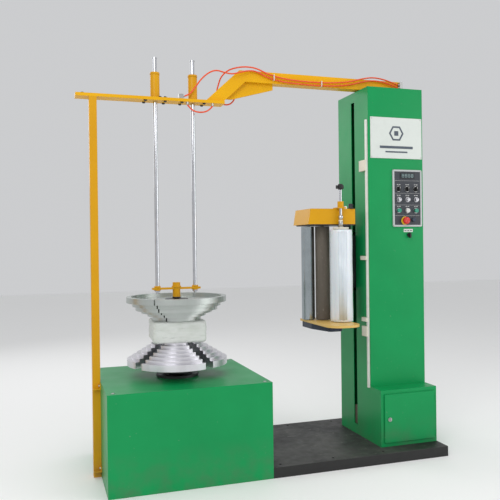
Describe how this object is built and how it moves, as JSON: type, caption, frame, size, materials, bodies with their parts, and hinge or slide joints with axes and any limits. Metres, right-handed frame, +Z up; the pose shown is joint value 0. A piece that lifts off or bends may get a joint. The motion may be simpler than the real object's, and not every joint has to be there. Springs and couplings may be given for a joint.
{
  "type": "turntable pallet wrapper",
  "caption": "Stationary turntable wrapping machine with a stepped chuck, a guided top press cone and a film carriage on a lift column.",
  "frame": {"origin": "on the floor, under the middle of the machine without its hoses", "axes": "+X from the turntable towards the column, +Z up, -Y is the side with the control panel"},
  "size_m": [1.906, 0.72, 2.13],
  "materials": {
    "green_paint": "gloss powder coat",
    "black_deck": "worn black paint",
    "yellow_paint": "gloss paint",
    "orange_paint": "gloss paint",
    "turned_aluminium": "turned",
    "chromed_steel": "polished",
    "dark_steel": "oiled",
    "zinc_steel": "zinc plated",
    "roller_rubber": "ground rubber",
    "film": "stretch film",
    "white_block": "soft white wrap",
    "cream_plastic": "moulded",
    "tray_paint": "tan paint",
    "guard_paint": "dark blue-grey paint",
    "black_plastic": "moulded",
    "grey_frame": "light grey",
    "charcoal": "satin",
    "knob_metal": "brushed",
    "green_button": "gloss",
    "white_button": "gloss",
    "red_button": "gloss",
    "blue_black": "gloss",
    "hose_orange": "polyurethane",
    "motor_grey": "painted cast iron"
  },
  "bodies": {
    "frame": {"base_box": "green_paint", "skid_base": "black_deck", "column": "green_paint", "cabinet": "green_paint", "electrical_panel": "cream_plastic", "top_arm": "yellow_paint", "guide_plate": "yellow_paint", "guide_sleeves": "orange_paint", "post": "orange_paint", "turntable_bearing": "dark_steel", "turntable_motor": "motor_grey", "drive_chain": "dark_steel", "guide_rails": "zinc_steel", "lift_chain": "dark_steel", "lift_motor": "motor_grey", "cable_duct": "cream_plastic", "switch_boxes": "cream_plastic", "control_panel": "grey_frame", "panel_face": "charcoal", "hose_fittings": "zinc_steel", "air_hose_upper": "hose_orange", "air_hose_looped": "hose_orange", "air_hose_lower": "hose_orange"},
    "turntable": {"turntable_hub": "dark_steel", "load_core": "white_block"},
    "motor_sprocket": {"motor_sprocket": "dark_steel"},
    "jaw_front": {"jaw_front": "turned_aluminium"},
    "jaw_right": {"jaw_right": "turned_aluminium"},
    "jaw_rear": {"jaw_rear": "turned_aluminium"},
    "jaw_left": {"jaw_left": "turned_aluminium"},
    "press": {"guide_rods": "chromed_steel", "press_bar": "orange_paint"},
    "upper_cone": {"upper_cone": "turned_aluminium", "cone_spindle": "dark_steel"},
    "carriage": {"carriage_housing": "orange_paint", "carriage_frame": "dark_steel", "film_tray": "tray_paint", "lower_guard": "guard_paint"},
    "chrome_roller": {"chrome_roller": "chromed_steel"},
    "rubber_roller": {"rubber_roller": "roller_rubber"},
    "film_roll": {"film_roll": "film"},
    "roll_clamp": {"clamp_spindle": "chromed_steel", "clamp_knob": "black_plastic"},
    "core_plug": {"core_plug": "cream_plastic"},
    "lift_sprocket_low": {"lift_sprocket_low": "dark_steel"},
    "lift_sprocket_top": {"lift_sprocket_top": "dark_steel"},
    "cabinet_door": {"cabinet_door": "green_paint"},
    "door_latch": {"door_latch": "black_plastic"},
    "stop_button": {"stop_button": "red_button"},
    "small_button": {"small_button": "blue_black"},
    "main_switch": {"main_switch": "black_plastic"},
    "selector_1": {"selector_1": "black_plastic"},
    "dial_1": {"dial_1": "knob_metal"},
    "push_button_1": {"push_button_1": "green_button"},
    "selector_2": {"selector_2": "black_plastic"},
    "dial_2": {"dial_2": "knob_metal"},
    "push_button_2": {"push_button_2": "white_button"},
    "selector_3": {"selector_3": "black_plastic"},
    "dial_3": {"dial_3": "knob_metal"},
    "push_button_3": {"push_button_3": "green_button"}
  },
  "joints": [
    {"name": "turntable_spin", "type": "hinge", "parent": "frame", "child": "turntable", "pos_m": [-0.45, 0, 0.5], "axis": [0, 0, 1], "continuous": true},
    {"name": "motor_sprocket_spin", "type": "hinge", "parent": "frame", "child": "motor_sprocket", "pos_m": [-0.19, 0, 0.3], "axis": [0, 0, 1], "continuous": true},
    {"name": "jaw_front_slide", "type": "slide", "parent": "turntable", "child": "jaw_front", "axis": [-0.2924, -0.9563, 0], "range_m": [-0.03, 0.01]},
    {"name": "jaw_right_slide", "type": "slide", "parent": "turntable", "child": "jaw_right", "axis": [0.9563, -0.2924, 0], "range_m": [-0.03, 0.01]},
    {"name": "jaw_rear_slide", "type": "slide", "parent": "turntable", "child": "jaw_rear", "axis": [0.2924, 0.9563, 0], "range_m": [-0.03, 0.01]},
    {"name": "jaw_left_slide", "type": "slide", "parent": "turntable", "child": "jaw_left", "axis": [-0.9563, 0.2924, 0], "range_m": [-0.03, 0.01]},
    {"name": "press_slide", "type": "slide", "parent": "frame", "child": "press", "axis": [0, 0, 1], "range_m": [0, 0.9]},
    {"name": "upper_cone_spin", "type": "hinge", "parent": "press", "child": "upper_cone", "pos_m": [-0.45, 0, 0.9], "axis": [0, 0, 1], "continuous": true},
    {"name": "carriage_lift", "type": "slide", "parent": "frame", "child": "carriage", "axis": [0, 0, 1], "range_m": [-0.56, 0.64]},
    {"name": "lift_sprocket_low_spin", "type": "hinge", "parent": "frame", "child": "lift_sprocket_low", "pos_m": [0.78, 0.032, 0.15], "axis": [0, 1, 0], "continuous": true},
    {"name": "lift_sprocket_top_spin", "type": "hinge", "parent": "frame", "child": "lift_sprocket_top", "pos_m": [0.78, 0.032, 1.93], "axis": [0, 1, 0], "continuous": true},
    {"name": "rubber_roller_spin", "type": "hinge", "parent": "carriage", "child": "rubber_roller", "pos_m": [0.3765, -0.028, 1], "axis": [0, 0, 1], "continuous": true},
    {"name": "chrome_roller_spin", "type": "hinge", "parent": "carriage", "child": "chrome_roller", "pos_m": [0.305, 0.012, 1], "axis": [0, 0, 1], "continuous": true},
    {"name": "film_roll_spin", "type": "hinge", "parent": "carriage", "child": "film_roll", "pos_m": [0.432, -0.15, 1], "axis": [0, 0, 1], "continuous": true},
    {"name": "roll_clamp_lift", "type": "slide", "parent": "carriage", "child": "roll_clamp", "axis": [0, 0, 1], "range_m": [0, 0.011], "stiffness_N_per_m": 900, "springref_m": -0.02},
    {"name": "core_plug_spin", "type": "hinge", "parent": "roll_clamp", "child": "core_plug", "pos_m": [0.432, -0.15, 1.25], "axis": [0, 0, 1], "continuous": true},
    {"name": "cabinet_door_swing", "type": "hinge", "parent": "frame", "child": "cabinet_door", "pos_m": [0.939, -0.265, 0.2], "axis": [0, 0, 1], "range_deg": [0, 120]},
    {"name": "door_latch_turn", "type": "hinge", "parent": "cabinet_door", "child": "door_latch", "pos_m": [0.653, -0.265, 0.202], "axis": [0, 1, 0], "range_deg": [0, 90]},
    {"name": "selector_1_turn", "type": "hinge", "parent": "frame", "child": "selector_1", "pos_m": [0.79, -0.155, 1.457], "axis": [0, 1, 0], "range_deg": [-45, 45]},
    {"name": "dial_1_turn", "type": "hinge", "parent": "frame", "child": "dial_1", "pos_m": [0.79, -0.155, 1.397], "axis": [0, 1, 0], "range_deg": [-135, 135]},
    {"name": "push_button_1_press", "type": "slide", "parent": "frame", "child": "push_button_1", "axis": [0, 1, 0], "range_m": [0, 0.004], "stiffness_N_per_m": 500, "springref_m": -0.002},
    {"name": "selector_2_turn", "type": "hinge", "parent": "frame", "child": "selector_2", "pos_m": [0.845, -0.155, 1.457], "axis": [0, 1, 0], "range_deg": [-45, 45]},
    {"name": "dial_2_turn", "type": "hinge", "parent": "frame", "child": "dial_2", "pos_m": [0.845, -0.155, 1.397], "axis": [0, 1, 0], "range_deg": [-135, 135]},
    {"name": "push_button_2_press", "type": "slide", "parent": "frame", "child": "push_button_2", "axis": [0, 1, 0], "range_m": [0, 0.004], "stiffness_N_per_m": 500, "springref_m": -0.002},
    {"name": "selector_3_turn", "type": "hinge", "parent": "frame", "child": "selector_3", "pos_m": [0.9, -0.155, 1.457], "axis": [0, 1, 0], "range_deg": [-45, 45]},
    {"name": "dial_3_turn", "type": "hinge", "parent": "frame", "child": "dial_3", "pos_m": [0.9, -0.155, 1.397], "axis": [0, 1, 0], "range_deg": [-135, 135]},
    {"name": "push_button_3_press", "type": "slide", "parent": "frame", "child": "push_button_3", "axis": [0, 1, 0], "range_m": [0, 0.004], "stiffness_N_per_m": 500, "springref_m": -0.002},
    {"name": "stop_button_press", "type": "slide", "parent": "frame", "child": "stop_button", "axis": [0, 1, 0], "range_m": [0, 0.006], "stiffness_N_per_m": 800, "springref_m": -0.002},
    {"name": "small_button_press", "type": "slide", "parent": "frame", "child": "small_button", "axis": [0, 1, 0], "range_m": [0, 0.004], "stiffness_N_per_m": 500, "springref_m": -0.002},
    {"name": "main_switch_turn", "type": "hinge", "parent": "frame", "child": "main_switch", "pos_m": [0.857, -0.155, 1.198], "axis": [0, 1, 0], "range_deg": [0, 90]}
  ],
  "couplings": [
    {"joint": "motor_sprocket_spin", "follows": "turntable_spin", "ratio": 2.5},
    {"joint": "jaw_right_slide", "follows": "jaw_front_slide", "ratio": 1},
    {"joint": "jaw_rear_slide", "follows": "jaw_front_slide", "ratio": 1},
    {"joint": "jaw_left_slide", "follows": "jaw_front_slide", "ratio": 1},
    {"joint": "lift_sprocket_low_spin", "follows": "carriage_lift", "rad_per_m": 26.316},
    {"joint": "lift_sprocket_top_spin", "follows": "carriage_lift", "rad_per_m": 26.316},
    {"joint": "chrome_roller_spin", "follows": "rubber_roller_spin", "ratio": -1.5625},
    {"joint": "core_plug_spin", "follows": "film_roll_spin", "ratio": 1}
  ]
}
